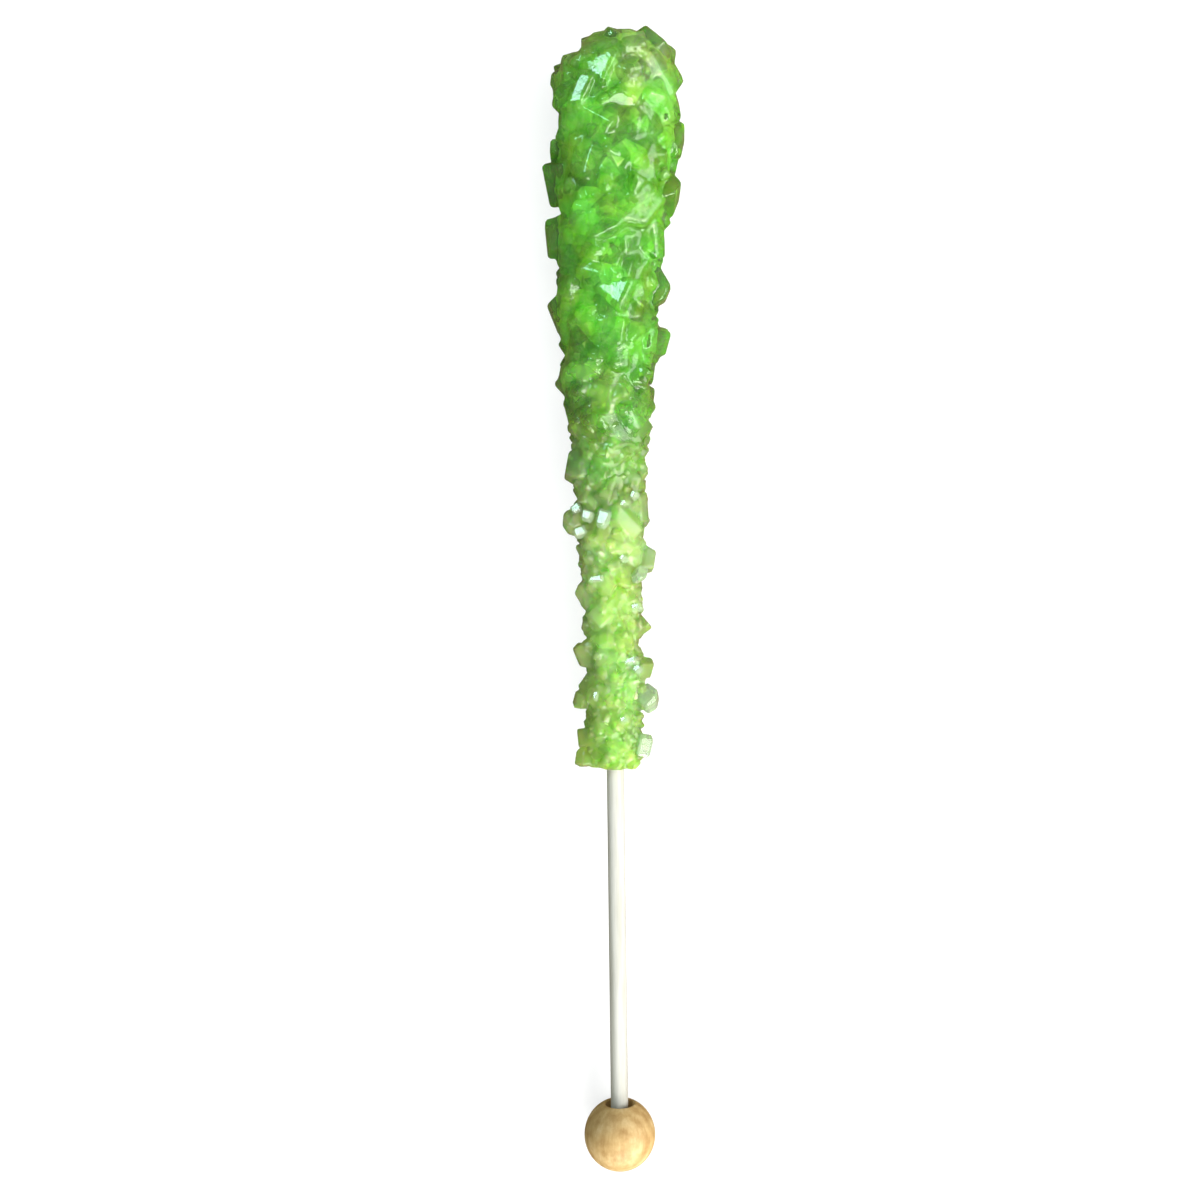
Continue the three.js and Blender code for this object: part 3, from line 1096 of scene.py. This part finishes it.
def fine_crystals():
    """The fine crystals of the slim end, with the round drop in the place of its last standing crystal."""
    body = core_mesh("fine_crystals", FINE_BODY, last=FULL_START + FULL_OVERLAP)
    large = standing(slim_end(STANDING_OUT)[:-1], STANDING_SEED)
    large += standing(slim_end(SCENE_STANDING), STANDING_SEED)
    large += scattered(SLIM_LARGE_SEED, share=1.1, spacing=2.0, last=FULL_START + FULL_OVERLAP)
    join_into(body, "large", large, EDGE_WEAR)
    medium_end = FULL_START + MEDIUM_OVERLAP
    medium = scattered(
        SLIM_MEDIUM_SEED, share=0.6, spacing=1.9, deepest=0.5, sunk=0.2, fade=1.6, last=medium_end
    )
    join_into(body, "medium", medium, EDGE_WEAR)
    small_end = FULL_START + SMALL_OVERLAP
    small = scattered(
        SLIM_SMALL_SEED, share=0.45, spacing=2.6, deepest=0.4, sunk=0.05, fade=1.4, last=small_end
    )
    join_into(body, "small", small, EDGE_WEAR)
    combine(body, [drop_mesh("drop")], "UNION")
    soften(body, FINE_GRAIN)
    keep_outer(body)
    cut_flat(body)
    body.data.set_sharp_from_angle(angle=math.radians(FINE_SHARP_ANGLE))
    return body


def cloudy_core():
    """The cloudy sugar under the crystals of both ends."""
    body = core_mesh("candy_core", CORE_BODY)
    medium = scattered(CORE_MEDIUM_SEED, share=0.6, spacing=1.9, deepest=0.6, sunk=0.7)
    join_into(body, "medium", medium, wear=0)
    small = scattered(CORE_SMALL_SEED, share=0.33, spacing=2.2, deepest=0.9, sunk=0.8)
    join_into(body, "small", small, wear=0)
    cut_flat(body, CORE_INSET)
    return body


def clear_crystals():
    """The nearly colourless crystals, and the bright facets of the drop and the slim end."""
    made = standing(CLEAR_CRYSTALS, CLEAR_SEED) + glinting(DROP_GLINTS, GLINT_PLACE, DROP_SWELL)
    made += glinting(slim_end(GLINTS), GLINT_PLACE)
    return crystals_mesh("clear_crystals", made, CLEAR_EDGE_WEAR)


crystals = full_crystals()
fine = fine_crystals()
core = cloudy_core()
clear = clear_crystals()
add_piece(crystals, "candy", crystal_material("crystal sugar", FULL_FACETS))
add_piece(fine, "candy", crystal_material("fine sugar", FINE_FACETS))
add_piece(clear, "candy", clear_material())
add_piece(core, "candy", core_material())
add_piece(ball_mesh(), "ball", ball_material(), mouth_grain_and_shade_material())
add_piece(dowel_mesh(), "dowel", dowel_material())


# Floor, world and lights
def pale_floor():
    bm = bmesh.new()
    bmesh.ops.create_grid(bm, x_segments=1, y_segments=1, size=FLOOR_REACH)
    floor = mesh_object("floor", bm)
    nodes = Nodes("pale floor")
    nodes.set(Roughness=0.9, Specular_IOR_Level=0.0, Emission_Color=(1, 1, 1, 1))
    seen = nodes.add("ShaderNodeLightPath").outputs["Is Camera Ray"]
    nodes.join(nodes.mix(TABLE_COLOUR, FLOOR_COLOUR, seen), nodes.shader.inputs["Base Color"])
    glow = nodes.maths("MULTIPLY", seen, FLOOR_SEEN_GLOW - FLOOR_GLOW)
    nodes.join(nodes.maths("ADD", glow, FLOOR_GLOW), nodes.shader.inputs["Emission Strength"])
    floor.data.materials.append(nodes.material)


def studio_world():
    """Soft light from all round, dimmer from the upper left, seen by the camera as an even pale tone."""
    world = bpy.data.worlds.new("studio")
    world.use_nodes = True
    tree = world.node_tree
    direction = tree.nodes.new("ShaderNodeTexCoord")
    split = tree.nodes.new("ShaderNodeSeparateXYZ")
    bright_side = tree.nodes.new("ShaderNodeMapRange")
    bright_side.inputs["From Min"].default_value = -WORLD_TURN
    bright_side.inputs["From Max"].default_value = WORLD_TURN
    bright_side.inputs["To Min"].default_value = WORLD_DIM
    bright_side.inputs["To Max"].default_value = WORLD_BRIGHT
    tree.links.new(direction.outputs["Generated"], split.inputs["Vector"])
    tree.links.new(split.outputs["X"], bright_side.inputs["Value"])
    light = tree.nodes["Background"]
    tree.links.new(bright_side.outputs["Result"], light.inputs["Strength"])
    light.inputs["Color"].default_value = (1, 1, 1, 1)
    backdrop = tree.nodes.new("ShaderNodeBackground")
    backdrop.inputs["Color"].default_value = (1, 1, 1, 1)
    backdrop.inputs["Strength"].default_value = BACKDROP
    seen = tree.nodes.new("ShaderNodeLightPath")
    both = tree.nodes.new("ShaderNodeMixShader")
    tree.links.new(seen.outputs["Is Camera Ray"], both.inputs["Fac"])
    tree.links.new(light.outputs["Background"], both.inputs[1])
    tree.links.new(backdrop.outputs["Background"], both.inputs[2])
    tree.links.new(both.outputs["Shader"], tree.nodes["World Output"].inputs["Surface"])
    bpy.context.scene.world = world


def add_light(name, kind, place, power, size, colour):
    """A lamp that looks at the part's middle. A sun's size is its angle, a softbox's is its side."""
    data = bpy.data.lights.new(name, kind)
    data.energy = power
    data.color = colour
    if kind == "SUN":
        data.angle = size
    else:
        data.size = size
    obj = bpy.data.objects.new(name, data)
    obj.location = place
    obj.rotation_euler = (-Vector(place)).to_track_quat("-Z", "Y").to_euler()
    bpy.context.collection.objects.link(obj)


pale_floor()
studio_world()
add_light("spark", "AREA", SPARK_PLACE, SPARK_POWER, SPARK_SIDE, SPARK_COLOUR)
add_light("key", "SUN", KEY_PLACE, KEY_POWER, math.radians(KEY_ANGLE), SUN_COLOUR)
add_light("side", "SUN", SIDE_PLACE, SIDE_POWER, math.radians(SIDE_ANGLE), SUN_COLOUR)
add_light("glint", "AREA", GLINT_PLACE, GLINT_POWER, GLINT_SIDE, GLINT_COLOUR)
